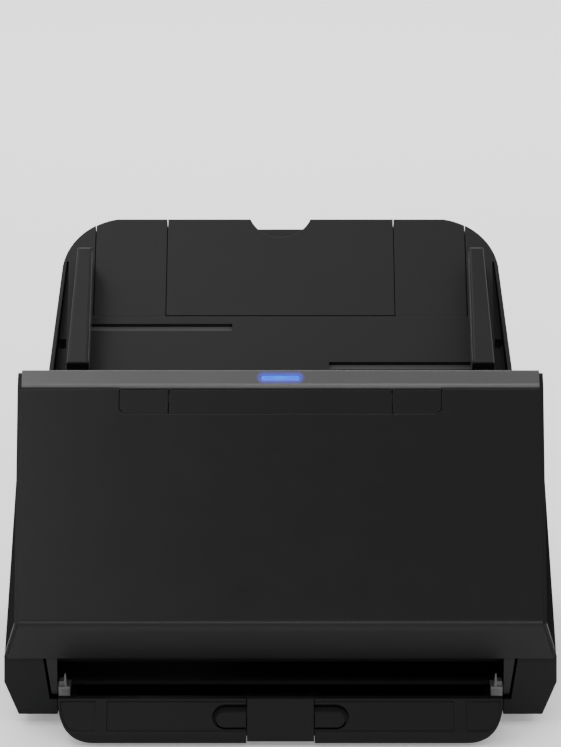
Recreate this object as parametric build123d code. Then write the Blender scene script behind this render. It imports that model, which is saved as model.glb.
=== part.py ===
from build123d import *
from math import cos, pi, radians, sin
import os

# Document scanner with a reclined paper path. Millimetres.
# X is the width, -Y the front, +Z up. The origin is on the table under the middle of the machine.

# Overall sizes. FAR reaches past every part of the machine.
FAR = 200.0
BODY_HALF_TOP = 142.0
BODY_FLARE = 3.5
BODY_TUCK = 7.3
BODY_HALF_WIDE = BODY_HALF_TOP + BODY_FLARE
BODY_HALF_BOTTOM = BODY_HALF_WIDE - BODY_TUCK
WIDE_Z = 25.0
BODY_BOTTOM_Z = 6.8
REAR_Y = 126.5
BLOCK_FRONT_Y = -94.5
BLOCK_TOP_Z = 38.3
SKIN = 2.6
SEAM = 0.6
CASING_ROOM = 12.0
FRAME_X = BODY_HALF_TOP - CASING_ROOM
FRAME_THICK = 1.5

# Reclined frame: u runs up the paper path, n stands out of it towards the front
PATH_ANGLE = 45.0
LIP_Y = 4.8
LIP_Z = 168.6
FRONT_DEPTH = 28.0
PATH_SIN = sin(radians(PATH_ANGLE))
PATH_COS = cos(radians(PATH_ANGLE))
ORIGIN_Y = LIP_Y + FRONT_DEPTH * PATH_SIN
ORIGIN_Z = LIP_Z - FRONT_DEPTH * PATH_COS
PATH_GAP = 1.6

# Front cover
CREASE_U = -154.6
COVER_EDGE_Y = -98.0
COVER_EDGE_Z = 38.9
COVER_HALF_TOP = BODY_HALF_TOP - 2 * SEAM
COVER_TAPER = 4.0
COVER_FLARE = 6.4
COVER_HALF_CREASE = COVER_HALF_TOP - COVER_TAPER
COVER_HALF_EDGE = COVER_HALF_CREASE + COVER_FLARE
COVER_BACK_N = 5.0
CREASE_R = 6.0
RAIL_PROUD = 2.1
RAIL_FRONT_N = 27.2
RAIL_TOP_U = -0.2
RAIL_CORNER = 1.6
COVER_SKIN = 2.4
LIP_HEIGHT = 11.0
LIP_GROOVE = 0.9
LIP_CAP_X = FRAME_X + 1.0
LIP_BACK_N = 19.0
LIP_RADIUS = 3.2
LIP_END_U = -LIP_HEIGHT - LIP_GROOVE
MOUTH_END_U = -34.0

# Key strip in the front cover
STRIP_BOTTOM_U = -27.0
LEVER_HALF = 60.2
KEY_END = 87.2
KEY_GAP = 0.8
KEY_THICK = 3.0
KEY_SUNK = 0.4
KEY_TOP_N = FRONT_DEPTH - KEY_SUNK
KEY_CLEAR = 0.4
LEVER_U = STRIP_BOTTOM_U + 2.5
LEVER_N = KEY_TOP_N - 6.2
LEVER_SHAFT_R = 1.5
CARRIER_N = KEY_TOP_N - 10.0
KEY_STEM_X = (LEVER_HALF + KEY_GAP + KEY_END) / 2
KEY_STEM_U = (STRIP_BOTTOM_U + LIP_END_U) / 2
KEY_CORNER = 4.5
LAMP_HALF = 10.8
LAMP_TALL = 3.4
LAMP_U = -4.7
LAMP_DEEP = 4.0

# Front cover hinge
HINGE_Y = -90.0
HINGE_Z = 20.5
HINGE_PIN_R = 2.5
HINGE_CLEAR = 0.06
ARM_SIDE_ROOM = 12.6
ARM_THICK = 6.0
ARM_IN = FRAME_X - ARM_SIDE_ROOM
ARM_OUT = ARM_IN + ARM_THICK
ARM_OUT_LOW = ARM_IN + 2.8
BLOCK_GAP = 1.4
BLOCK_FOOT_X = ARM_IN + 0.2
BLOCK_FOOT_Z = 15.1
BLOCK_REAR_Y = -78.0
ARM_R = 4.6
BRACKET_THICK = 6.0
BRACKET_OUT = ARM_IN - SEAM
BRACKET_IN = BRACKET_OUT - BRACKET_THICK
BRACKET_FRONT_Y = -96.0
BRACKET_TOP_Z = 22.4
FINGER_TOP_Z = 29.4

# Rollers: place on the path, radius
FEED_U = -46.0
FEED_R = 12.0
DRIVE_U = -73.0
DRIVE_R = 7.0
EJECT_U = -133.0
EJECT_R = 7.0
NIP_N = 0.8
NIP_CLEAR = 0.4
RETARD_R = 10.0
RETARD_CHEEK = 28.0
PINCH_R = 5.0
SHAFT_R = 3.0
PINCH_SHAFT_R = 2.0
RUN_CLEAR = 0.05
FEED_TYRE = 18.0
FEED_TYRE_X = 12.0
TYRE = 16.0
TYRE_X_IN = 30.0
TYRE_X_OUT = 84.0

# Sensors
REAR_SENSOR_U = -97.0
FRONT_SENSOR_U = -116.0
SENSOR_WIDE = 18.0
SENSOR_DEEP = 17.0
SENSOR_END = 10.0
SENSOR_SIDE_ROOM = 8.0
SENSOR_HALF = FRAME_X - SENSOR_SIDE_ROOM - SENSOR_END
GLASS_THICK = 1.6
GLASS_WIDE = 15.0

# Inner frame
GUIDE_SIDE_ROOM = 8.0
GUIDE_HALF = FRAME_X - GUIDE_SIDE_ROOM
GUIDE_THICK = 2.0

FLANGE_LOW_Z = 12.0
FLANGE_TOP_Z = 14.6
PLATE_FRONT_Y = -76.0
FOOT_X = 95.0
FOOT_FRONT_Y = -66.0
FOOT_REAR_Y = 100.0
GUIDE_TOP_END_U = -8.0
GUIDE_BOTTOM_U = -150.0
CHEEK_INSET = 2.0
CHEEK_X = GUIDE_HALF - CHEEK_INSET

# Drive
PULLEY_X = FRAME_X + 3.0
PULLEY_WIDE = 4.4
BELT_THICK = 1.2
FEED_PULLEY_R = 9.0
DRIVE_PULLEY_R = 5.25
MOTOR_PULLEY_R = 4.5
MOTOR_U = -92.0
MOTOR_N = -48.0
MOTOR_R = 18.0
MOTOR_LONG = 26.0
MOTOR_BOSS_R = 8.0
MOTOR_SHAFT_R = 2.0
BELT_GAP = 0.3

# Feed tray
TRAY_HALF = FRAME_X - 1.0
TRAY_TAPER = 8.2
TRAY_TOP_U = 117.2
TRAY_BOTTOM_U = -2.0
TRAY_THICK = 15.0
TRAY_CORNER = 37.0
POCKET_HALF = 105.0
POCKET_EDGE = 2.4
EXT_START_U = 51.5
EXT_END_U = 3.6
EXT_CLEAR = 0.4
EXT_TOP_U = TRAY_TOP_U - 0.6
EXT_FLOOR_N = -12.4
EXT_SHELF_N = -8.4
TIP_FLOOR_N = -10.4
TIP_EDGE = 2.0
RIM_WIDE = 2.8
GROOVE_OUT = TRAY_HALF - RIM_WIDE
GROOVE_IN = GROOVE_OUT - 6.8
HOLE_U = 33.0
HOLE_LONG = 6.0
GROOVE_LOW_U = 3.0
GROOVE_HIGH_U = 88.0
GROOVE_DEEP = 4.0
RIM_END_U = 86.0
RIM_TALL = 6.0
TIP_HALF = 64.0

# Paper guides on the feed tray
GUIDE_IN = TRAY_HALF - 23.4
GUIDE_OUT_TOP = GUIDE_IN + 8.0
GUIDE_OUT_LOW = GUIDE_IN + 11.8
GUIDE_TOP_U = 85.0
GUIDE_STEP_U = 9.5
GUIDE_LOW_U = -7.0
GUIDE_TALL = 20.0
GUIDE_STEP_TALL = 10.0
GUIDE_RISE = 0.4
GUIDE_SKIN = 2.0
STEM_WIDE = 4.0
RACK_U = 32.0
PINION_R = 9.0
PINION_TEETH = 18
TOOTH_TALL = 1.8
TOOTH_ROOT = 1.8
TOOTH_TIP = 0.6
TOOTH = [(-TOOTH_ROOT / 2, -0.1), (TOOTH_ROOT / 2, -0.1), (TOOTH_TIP / 2, TOOTH_TALL), (-TOOTH_TIP / 2, TOOTH_TALL)]
RACK_PITCH = 2 * pi * PINION_R / PINION_TEETH
RACK_BACK = 3.4
RACK_REACH = 15.6
RACK_END = -10.0
STEM_END = 27.0
RACK_THICK = 3.0
RACK_TOP_N = -3.4
RACK_LOW_N = RACK_TOP_N - RACK_THICK
RACK_WIDE = 5.0
GUIDE_TRAVEL_IN = 78.0
GUIDE_TRAVEL_OUT = 2.0

# Base and output tray
PAN_HALF = BRACKET_OUT + 0.2
PAN_WALL = 4.5
PAN_BOTTOM_Z = 3.0
PAN_FLOOR = 2.5
DECK_Z = 19.4
DECK_THICK = 2.2
PAN_FRONT_Y = -84.0
PAN_REAR_Y = 118.0
FOOT_R = 8.0
DRAWER_HALF = BRACKET_IN - SEAM
DRAWER_WALL = 2.2
DRAWER_Z = 6.2
DRAWER_FLOOR = 2.2
DRAWER_WALL_TOP = 17.5
DRAWER_REAR_Y = 78.0
APRON_HALF = BRACKET_OUT - 0.8
APRON_FRONT_Y = -126.5
APRON_TOP_Y = -112.5
APRON_BACK_Y = -108.0
APRON_TOP_Z = 22.0
APRON_BOTTOM_Z = 2.6
APRON_NOSE_Z = 7.5
APRON_CORNER = 10.0
APRON_SWEEP = 18.5
FIELD_TALL = 40.0
FIELD_TOP = 8.6
FIELD_DEEP = 0.6
FIELD_RIM = 1.4
RIDGE_OUT = APRON_HALF - 19.4
RIDGE_IN = RIDGE_OUT - 6.2
SOLID_HALF = 38.0
SLIDE_HALF = 17.4
SLIDE_GAP = 0.4
SLIDE_THICK = 2.4
SLIDE_REAR_Y = 40.0
GRIP_HALF = 35.5
GRIP_TALL = 14.0
GRIP_DEEP = 4.0
SLIDE_Z = 9.0
STOP_Y = -122.6
STOP_Z = 5.6
STOP_PIN_R = 0.9
STOP_KNUCKLE_R = 1.4
STOP_KNUCKLE_HALF = 8.6
LUG_IN = 9.0
LUG_OUT = 12.0

# Sockets at the back
JACK_X = 96.0
USB_X = 66.0
LOCK_X = -104.0
PORT_Z = 34.0
PORT_DEEP = 14.0
PORT_SINK = 1.0
JACK_BORE_R = 3.2
JACK_PIN_R = 1.0


def slope(u, n):
    """World y and z of a point of the reclined frame."""
    return (ORIGIN_Y + u * PATH_COS - n * PATH_SIN, ORIGIN_Z + u * PATH_SIN + n * PATH_COS)


RECLINED = Plane(
    origin=(0, ORIGIN_Y, ORIGIN_Z), x_dir=(1, 0, 0), z_dir=(0, -PATH_SIN, PATH_COS)
).location


def face_of(points):
    return make_face(Polyline(*points, close=True))


def prism(points, x0, x1):
    """Side profile in y, z carried across from x0 to x1."""
    return extrude(Plane.YZ.offset(x0) * face_of(points), x1 - x0)


def section(points, y0, y1):
    """Front profile in x, z carried back from y0 to y1."""
    return extrude(Plane.XZ.offset(-y0) * face_of(points), -(y1 - y0))


def box(x0, x1, y0, y1, z0, z1):
    return Pos((x0 + x1) / 2, (y0 + y1) / 2, (z0 + z1) / 2) * Box(x1 - x0, y1 - y0, z1 - z0)


def tilted(x0, x1, u0, u1, n0, n1):
    return RECLINED * box(x0, x1, u0, u1, n0, n1)


def rod(radius, x0, x1, y, z):
    """Cylinder along X through y, z."""
    return Pos((x0 + x1) / 2, y, z) * Rot(0, 90, 0) * Cylinder(radius, x1 - x0)


def tilted_rod(radius, x0, x1, u, n):
    y, z = slope(u, n)
    return rod(radius, x0, x1, y, z)


def mirrored(shape):
    return mirror(shape, about=Plane.YZ)


def save(name, shape):
    solids = shape.solids()
    export_step(solids[0] if len(solids) == 1 else Compound(solids), f"parts/{name}.step")


def crease():
    return slope(CREASE_U, FRONT_DEPTH)


# Side profiles

def body_profile(inset):
    """Side outline of the fixed body, drawn in by inset."""
    seam_n = COVER_BACK_N - SEAM - inset
    top_y, top_z = slope(10.0, seam_n)
    block_u = (BLOCK_TOP_Z - inset - ORIGIN_Z) / PATH_SIN - seam_n
    block_y = slope(block_u, seam_n)[0]
    return [
        (BLOCK_FRONT_Y + inset, BODY_BOTTOM_Z + inset),
        (BLOCK_FRONT_Y + inset, BLOCK_TOP_Z - inset),
        (max(block_y, BLOCK_FRONT_Y + inset + 0.5), BLOCK_TOP_Z - inset),
        (top_y, top_z),
        (top_y + 22.0, top_z - 6.0 - inset * 0.4),
        (top_y + 44.0 - inset, top_z - 14.0 - inset),
        (REAR_Y - inset, 92.0 - inset * 0.4),
        (REAR_Y - inset, 24.0),
        (REAR_Y - 7.0 - inset, BODY_BOTTOM_Z + inset),
    ]


def side_section(inset, inner):
    """Front outline of a right-hand side casing, drawn in by inset."""
    return [
        (inner, LIP_Z + 10.0),
        (BODY_HALF_TOP - inset, LIP_Z + 10.0),
        (BODY_HALF_TOP - inset, LIP_Z),
        (BODY_HALF_WIDE - inset, WIDE_Z),
        (BODY_HALF_BOTTOM - inset, BODY_BOTTOM_Z),
        (BODY_HALF_BOTTOM - inset, BODY_BOTTOM_Z - 2.0),
        (inner, BODY_BOTTOM_Z - 2.0),
    ]


def right_side_cover():
    y0 = BLOCK_FRONT_Y - 5.0
    y1 = REAR_Y + 5.0
    flange_in = FRAME_X + FRAME_THICK + 1.0
    outer = prism(body_profile(0.0), flange_in, FAR)
    block = prism(body_profile(0.0), BLOCK_FOOT_X, flange_in + 0.1)
    block &= box(0, FAR, y0, BLOCK_REAR_Y, 0, 60)
    # The inner edge of the block leans beside the tapered arm, over a low foot
    block -= section([(100.0, BLOCK_FOOT_Z), (ARM_OUT_LOW + BLOCK_GAP, BLOCK_FOOT_Z),
                      (ARM_OUT + BLOCK_GAP, BLOCK_TOP_Z), (ARM_OUT + BLOCK_GAP, 60.0), (100.0, 60.0)],
                     y0, y1)
    shell = (outer + block) & section(side_section(0.0, 100.0), y0, y1)
    hollow = prism(body_profile(SKIN), 100.0, FAR)
    hollow &= section(side_section(SKIN, 100.0), y0, y1)
    hollow -= box(0, ARM_OUT + BLOCK_GAP + SKIN, y0, BLOCK_REAR_Y + 1, 0, 60)
    shell -= hollow
    # Screw posts that stand on the frame plate
    for u, n, end in ((-30.0, -16.0, BODY_HALF_TOP - 1.0), (-120.0, -22.0, BODY_HALF_WIDE - 2.0)):
        shell += tilted_rod(3.4, FRAME_X + FRAME_THICK, end, u, n)
    low_post = rod(3.4, FRAME_X + FRAME_THICK, BODY_HALF_WIDE - 2.0, 84.0, 40.0)
    return shell + low_post


def rear_cover():
    """Bent panel behind the feed tray, down the slope and the back."""
    half = FRAME_X + FRAME_THICK + 1.0 - SEAM
    shell = prism(body_profile(0.0), -half, half) - prism(body_profile(SKIN), -half - 1, half + 1)
    tray_back = slope(0.0, -TRAY_THICK - 1.0)
    keep = prism(
        [slope(5.0, -TRAY_THICK - 1.2), slope(60.0, -TRAY_THICK - 1.2), (REAR_Y + 20.0, 170.0),
         (REAR_Y + 20.0, DECK_Z + DECK_THICK + 0.2), (tray_back[0] + 20.0, DECK_Z + DECK_THICK + 0.2)],
        -half - 1, half + 1)
    shell &= keep
    # Cooling slots low on the back
    slots = [Pos(x, REAR_Y, 62.0) * Box(3.0, 12.0, 22.0) for x in (-96 + 7.0 * i for i in range(9))]
    shell -= Compound(slots)
    # Power and data sockets
    shell -= Pos(JACK_X, REAR_Y, PORT_Z) * Box(13.0, 12.0, 12.0)
    shell -= Pos(USB_X, REAR_Y, PORT_Z) * Box(13.4, 12.0, 12.4)
    shell -= Pos(LOCK_X, REAR_Y, PORT_Z) * Box(7.0, 12.0, 3.0)
    return shell


def power_jack():
    y1 = REAR_Y - PORT_SINK
    body = box(JACK_X - 6.2, JACK_X + 6.2, y1 - PORT_DEEP, y1, PORT_Z - 5.7, PORT_Z + 5.7)
    bore = Pos(JACK_X, y1 - 4.5, PORT_Z) * Rot(90, 0, 0) * Cylinder(JACK_BORE_R, 10.0)
    pin = Pos(JACK_X, y1 - 5.2, PORT_Z) * Rot(90, 0, 0) * Cylinder(JACK_PIN_R, 9.0)
    return body - bore + pin


def usb_port():
    y1 = REAR_Y - PORT_SINK
    body = box(USB_X - 6.2, USB_X + 6.2, y1 - PORT_DEEP, y1, PORT_Z - 5.7, PORT_Z + 5.7)
    body -= box(USB_X - 4.6, USB_X + 4.6, y1 - 9.0, y1 + 1, PORT_Z - 4.2, PORT_Z + 4.2)
    return body + box(USB_X - 2.8, USB_X + 2.8, y1 - 9.5, y1 - 1.0, PORT_Z - 1.6, PORT_Z + 1.6)


def main_board():
    """Circuit board on short posts above the deck."""
    z0 = DECK_Z + DECK_THICK
    board = box(-100.0, 106.0, 20.0, REAR_Y - 1.0 - PORT_DEEP - 0.5, z0 + 4.4, z0 + 6.0)
    for x in (-92.0, 98.0):
        for y in (28.0, 100.0):
            board += Pos(x, y, z0 + 2.2) * Cylinder(3.0, 4.4)
    for x, y, w, d, h in ((-40, 60, 26, 26, 2.4), (10, 50, 16, 20, 2.0), (-75, 90, 12, 12, 9.0),
                          (40, 82, 22, 9, 6.0), (-10, 92, 30, 6, 5.0), (75, 60, 12, 12, 4.0)):
        board += Pos(x, y, z0 + 6.0 + h / 2) * Box(w, d, h)
    for x in (JACK_X, USB_X):
        board += box(x - 5.0, x + 5.0, REAR_Y - 20.0, REAR_Y - PORT_SINK - PORT_DEEP, z0 + 4.4, z0 + 10.0)
    return board


def base_pan():
    """Low pan with a flat cavity for the output drawer and a flange for the frame plates."""
    top_z = DECK_Z + DECK_THICK
    pan = box(-PAN_HALF, PAN_HALF, PAN_FRONT_Y, PAN_REAR_Y, PAN_BOTTOM_Z, top_z)
    half = PAN_HALF - PAN_WALL
    pan -= box(-half, half, PAN_FRONT_Y - 1, PAN_REAR_Y - PAN_WALL, PAN_BOTTOM_Z + PAN_FLOOR, DECK_Z)
    edge = FRAME_X + FRAME_THICK
    pan += box(PAN_HALF - 1, edge, PLATE_FRONT_Y, PAN_REAR_Y, FLANGE_LOW_Z, FLANGE_TOP_Z)
    pan += box(-edge, 1 - PAN_HALF, PLATE_FRONT_Y, PAN_REAR_Y, FLANGE_LOW_Z, FLANGE_TOP_Z)
    # Stiffening ribs on the underside
    for x in (-60.0, 0.0, 60.0):
        pan += box(x - 1.0, x + 1.0, PAN_FRONT_Y + 14, PAN_REAR_Y - 14, PAN_BOTTOM_Z - 1.2, PAN_BOTTOM_Z)
    return pan


def rubber_feet():
    foot = Cylinder(FOOT_R, PAN_BOTTOM_Z)
    foot = chamfer(foot.edges().group_by(Axis.Z)[0], 0.6)
    spots = [(x, y) for x in (-FOOT_X, FOOT_X) for y in (FOOT_FRONT_Y, FOOT_REAR_Y)]
    return Compound([Pos(x, y, PAN_BOTTOM_Z / 2) * foot for x, y in spots])


def frame_plate():
    """Right-hand side plate that carries every shaft."""
    plate_part = prism(body_profile(SKIN + 0.8), FRAME_X, FRAME_X + FRAME_THICK)
    plate_part &= box(0, FAR, PLATE_FRONT_Y, REAR_Y - SKIN - 1.5, FLANGE_TOP_Z, FAR)
    for u, radius in ((FEED_U, FEED_R), (DRIVE_U, DRIVE_R), (EJECT_U, EJECT_R)):
        plate_part -= tilted_rod(SHAFT_R + RUN_CLEAR, 0, FAR, u, body_axis(radius))
    plate_part -= tilted_rod(MOTOR_BOSS_R + 0.4, 0, FAR, MOTOR_U, MOTOR_N)
    for y, z in ((60.0, 90.0), (78.0, 60.0), (30.0, 110.0)):
        plate_part -= rod(9.0, 0, FAR, y, z)
    # Foot folded in along the flange
    foot = box(FRAME_X - 8.0, FRAME_X, 20.0, 100.0, FLANGE_TOP_Z, FLANGE_TOP_Z + FRAME_THICK)
    return plate_part + foot


def body_axis(radius):
    """Depth of the axis of a driven roller, just through the paper surface."""
    return NIP_N - NIP_CLEAR / 2 - radius


def front_axis(radius):
    return NIP_N + NIP_CLEAR / 2 + radius


def rear_guide():
    """Sheet behind the paper with windows for the tyres and the rear sensor."""
    sheet = tilted(-GUIDE_HALF, GUIDE_HALF, GUIDE_BOTTOM_U, GUIDE_TOP_END_U, -GUIDE_THICK, 0)
    drop = slope(GUIDE_BOTTOM_U, 0)
    sheet += prism([drop, (drop[0] + 2.0, drop[1] - 12.0), (drop[0] + 4.0, drop[1] - 12.0),
                    slope(GUIDE_BOTTOM_U, -GUIDE_THICK)], -GUIDE_HALF, GUIDE_HALF)
    sheet -= tilted(-24.0, 24.0, FEED_U - 11.0, FEED_U + 11.0, -9, 9)
    for u in (DRIVE_U, EJECT_U):
        for x in (-TYRE_X_OUT, -TYRE_X_IN, TYRE_X_IN, TYRE_X_OUT):
            sheet -= tilted(x - TYRE / 2 - 2, x + TYRE / 2 + 2, u - 7.5, u + 7.5, -9, 9)
    half = SENSOR_WIDE / 2 + 0.4
    edge = SENSOR_HALF + 0.4
    sheet -= tilted(-edge, edge, REAR_SENSOR_U - half, REAR_SENSOR_U + half, -9, 9)
    # Tabs that meet the frame plates
    for u in (-20.0, -60.0, -118.0):
        tab = tilted(GUIDE_HALF - 1, FRAME_X, u - 5.0, u + 5.0, -GUIDE_THICK, 0)
        sheet += tab + mirrored(tab)
    return sheet


def sensor_bar(u, side):
    """Contact image sensor housing, side -1 behind the paper and 1 in front."""
    face = PATH_GAP * (side + 1) / 2
    near = face + side * GLASS_THICK
    far = near + side * SENSOR_DEEP
    half = SENSOR_WIDE / 2
    bar = tilted(-SENSOR_HALF, SENSOR_HALF, u - half, u + half, min(near, far), max(near, far))
    rail = tilted(-SENSOR_HALF, SENSOR_HALF, u + half - 1.2, u + half, min(face, near), max(face, near))
    return bar + rail


def sensor_glass(u, side):
    face = PATH_GAP * (side + 1) / 2
    near = face + side * GLASS_THICK
    half = SENSOR_HALF - 2.0
    return tilted(-half, half, u - GLASS_WIDE / 2, u + GLASS_WIDE / 2 - 0.4, min(face, near), max(face, near))


def tyres(radius, bore, u, n, spots, width):
    rings = [
        tilted_rod(radius, x - width / 2, x + width / 2, u, n)
        - tilted_rod(bore, x - width, x + width, u, n)
        for x in spots
    ]
    return Compound(rings)


def driven_shaft(u, radius, pulley_r):
    """Shaft through both frame plates with its pulley at the right-hand end."""
    n = body_axis(radius)
    end = FRAME_X + FRAME_THICK + 1.0
    shaft = tilted_rod(SHAFT_R, -end, PULLEY_X + PULLEY_WIDE, u, n)
    shaft += tilted_rod(pulley_r, PULLEY_X, PULLEY_X + PULLEY_WIDE, u, n)
    for side in (-1, 1):
        x0 = min(side * (FRAME_X - 1.4), side * (FRAME_X - 0.4))
        shaft += tilted_rod(SHAFT_R + 1.2, x0, x0 + 1.0, u, n)
    return shaft


def motor_body():
    case = tilted_rod(MOTOR_R, FRAME_X - MOTOR_LONG, FRAME_X, MOTOR_U, MOTOR_N)
    case += tilted_rod(MOTOR_BOSS_R, FRAME_X - 1, FRAME_X + FRAME_THICK, MOTOR_U, MOTOR_N)
    case -= tilted_rod(MOTOR_SHAFT_R + RUN_CLEAR, FRAME_X - 14.0, FRAME_X + 9, MOTOR_U, MOTOR_N)
    return case + tilted_rod(6.0, FRAME_X - MOTOR_LONG - 2.0, FRAME_X - MOTOR_LONG, MOTOR_U, MOTOR_N)


def motor_pulley():
    wheel = tilted_rod(MOTOR_PULLEY_R, PULLEY_X, PULLEY_X + PULLEY_WIDE, MOTOR_U, MOTOR_N)
    return wheel + tilted_rod(MOTOR_SHAFT_R, FRAME_X - 13.0, PULLEY_X, MOTOR_U, MOTOR_N)


def timing_belt():
    """Belt round the outside of all four pulleys, seen along X in u and n."""
    rims = [(MOTOR_U, MOTOR_N, MOTOR_PULLEY_R)]
    rims.append((FEED_U, body_axis(FEED_R), FEED_PULLEY_R))
    rims.append((DRIVE_U, body_axis(DRIVE_R), DRIVE_PULLEY_R))
    rims.append((EJECT_U, body_axis(EJECT_R), DRIVE_PULLEY_R))
    points = [slope(u, n) + (radius,) for u, n, radius in rims]

    def loop(grow):
        discs = Sketch() + [Pos(y, z) * Circle(radius + grow) for y, z, radius in points]
        return make_hull(discs.edges())

    band = loop(BELT_GAP + BELT_THICK) - loop(BELT_GAP)
    return extrude(Plane.YZ.offset(PULLEY_X + 0.4) * band, PULLEY_WIDE - 0.8)


def tray_outline():
    """Tray outline in x and u: widest at the bottom, with rounded top corners."""
    top_half = TRAY_HALF - TRAY_TAPER
    outline = face_of([(-TRAY_HALF, TRAY_BOTTOM_U), (TRAY_HALF, TRAY_BOTTOM_U), (top_half, TRAY_TOP_U),
                       (-top_half, TRAY_TOP_U)])
    return fillet(outline.vertices().group_by(Axis.Y)[-1], TRAY_CORNER)


def feed_tray():
    """Reclined tray with rounded top corners, side rims, and room for guides and extensions."""
    tray = extrude(tray_outline(), -TRAY_THICK)
    tray = chamfer(tray.edges().group_by(Axis.Z)[0], 2.0)
    lean = TRAY_TAPER * (RIM_END_U - TRAY_BOTTOM_U) / (TRAY_TOP_U - TRAY_BOTTOM_U)
    rim = outline_block([(GROOVE_OUT, TRAY_BOTTOM_U), (TRAY_HALF, TRAY_BOTTOM_U),
                         (TRAY_HALF - lean, RIM_END_U), (TRAY_HALF - lean - RIM_WIDE * 0.7, RIM_END_U)],
                        -1.0, RIM_TALL)
    rim &= prism([(TRAY_BOTTOM_U, -1.0), (TRAY_BOTTOM_U, RIM_TALL), (12.0, RIM_TALL),
                  (RIM_END_U, -0.2), (RIM_END_U, -1.0)], 0, FAR)
    tray += rim + mirrored(rim)
    groove = outline_block([(GROOVE_IN, GROOVE_LOW_U), (GROOVE_OUT, GROOVE_LOW_U),
                            (GROOVE_OUT - lean + 0.6, GROOVE_HIGH_U), (GROOVE_OUT - lean - 0.4, GROOVE_HIGH_U),
                            (GROOVE_IN, 0.7 * GROOVE_HIGH_U)], -GROOVE_DEEP, 20 - GROOVE_DEEP)
    tray -= groove + mirrored(groove)
    hole = box(GROOVE_IN + 0.2, GROOVE_OUT - 2.4, HOLE_U, HOLE_U + HOLE_LONG, -20, 1)
    tray -= hole + mirrored(hole)
    # Room for the two racks and the pinion, and the slots their stems run in
    reach = GUIDE_OUT_LOW + GUIDE_TRAVEL_OUT - 0.9
    tray -= box(-reach, reach, RACK_U - RACK_REACH, RACK_U + RACK_REACH, RACK_LOW_N - 0.4, RACK_TOP_N + 0.4)
    tray -= box(STEM_END, reach - 1.0, stem_u(1) - 2.2, stem_u(1) + 2.2, -4.0, 1)
    tray -= box(1.0 - reach, -STEM_END, stem_u(-1) - 2.2, stem_u(-1) + 2.2, -4.0, 1)
    # Pockets of the extensions
    tray -= box(-POCKET_HALF, POCKET_HALF, EXT_START_U, FAR, EXT_SHELF_N, 1)
    wide = POCKET_HALF + POCKET_EDGE
    tray -= box(-wide, wide, EXT_END_U, FAR, EXT_FLOOR_N - EXT_CLEAR, EXT_SHELF_N + EXT_CLEAR)
    # Ears that meet the frame plates
    ear = box(TRAY_HALF - 1, FRAME_X, TRAY_BOTTOM_U + 1, 8.0, -9.0, -4.0)
    return RECLINED * (tray + ear + mirrored(ear))


def stem_u(side):
    """Where the stem and rack of the right (1) or left (-1) guide lie."""
    return RACK_U - side * (PINION_R + RACK_BACK)


def outline_block(points, n0, n1):
    return Pos(0, 0, n0) * extrude(face_of(points), n1 - n0)


def guide_wall():
    """Right-hand upright guide in x, u and n, hollow from below."""
    wall = outline_block([(GUIDE_IN, GUIDE_LOW_U), (GUIDE_OUT_LOW, GUIDE_LOW_U),
                          (GUIDE_OUT_LOW, GUIDE_STEP_U), (GUIDE_OUT_TOP, GUIDE_TOP_U),
                          (GUIDE_IN, GUIDE_TOP_U)], GUIDE_RISE, GUIDE_TALL)
    wall -= box(0, FAR, GUIDE_LOW_U - 1, GUIDE_STEP_U, GUIDE_STEP_TALL, FAR)
    wall = fillet(wall.edges().group_by(Axis.Z)[-1], 1.4)
    low_u = GUIDE_STEP_U + GUIDE_SKIN
    high_u = GUIDE_TOP_U - GUIDE_SKIN
    inner = GUIDE_IN + GUIDE_SKIN
    wall -= outline_block([(inner, low_u), (GUIDE_OUT_LOW - GUIDE_SKIN, low_u),
                           (GUIDE_OUT_TOP - GUIDE_SKIN, high_u), (inner, high_u)],
                          -1, GUIDE_TALL - GUIDE_SKIN)
    return wall


def guide_rack():
    """Right-hand toothed rack with the stem that carries its guide, in x, u and n."""
    u = stem_u(1)
    inner = GUIDE_IN + GUIDE_SKIN
    stem = box(inner, inner + STEM_WIDE, u - 1.8, u + 1.8, RACK_TOP_N - 1.0, GUIDE_TALL - GUIDE_SKIN)
    root_u = RACK_U - PINION_R - TOOTH_TALL / 2
    rack = box(RACK_END, inner + STEM_WIDE, u - RACK_WIDE / 2, root_u, RACK_LOW_N, RACK_TOP_N)
    tooth = outline_block(TOOTH, RACK_LOW_N, RACK_TOP_N)
    first = -3
    last = int(GUIDE_TRAVEL_IN / RACK_PITCH) + 4
    teeth = [Pos(RACK_PITCH * (i + 0.5), root_u, 0) * tooth for i in range(first, last)]
    return rack + stem + teeth


def turned(shape):
    """The same shape half a turn about the axis of the pinion."""
    return Pos(0, 2 * RACK_U, 0) * Rot(0, 0, 180) * shape


def guide_pinion():
    wheel = Cylinder(PINION_R - TOOTH_TALL / 2, RACK_THICK)
    tooth = Pos(0, PINION_R - TOOTH_TALL / 2 - 0.05, -RACK_THICK / 2) * extrude(face_of(TOOTH), RACK_THICK)
    step = 360 / PINION_TEETH
    wheel += [Rot(0, 0, step * i) * tooth for i in range(PINION_TEETH)]
    return RECLINED * Pos(0, RACK_U, (RACK_LOW_N + RACK_TOP_N) / 2) * wheel


def tray_extension():
    """First pull-out stage: a wide shelf under the tray skin and a flush head at the top."""
    gap = EXT_CLEAR
    half = POCKET_HALF - gap
    wide = POCKET_HALF + POCKET_EDGE - gap
    stage = box(-wide, wide, EXT_END_U + gap, EXT_TOP_U, EXT_FLOOR_N, EXT_SHELF_N)
    stage += box(-half, half, EXT_START_U + gap, EXT_TOP_U, EXT_SHELF_N - 1, -gap)
    stage -= box(-TIP_HALF - gap, TIP_HALF + gap, EXT_END_U - 9, FAR, EXT_SHELF_N - gap, 9)
    edge = TIP_HALF + TIP_EDGE + gap
    stage -= box(-edge, edge, EXT_END_U + 4, FAR, TIP_FLOOR_N - gap, EXT_SHELF_N + gap)
    return RECLINED * (stage & extrude(tray_outline(), -TRAY_THICK))


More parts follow.
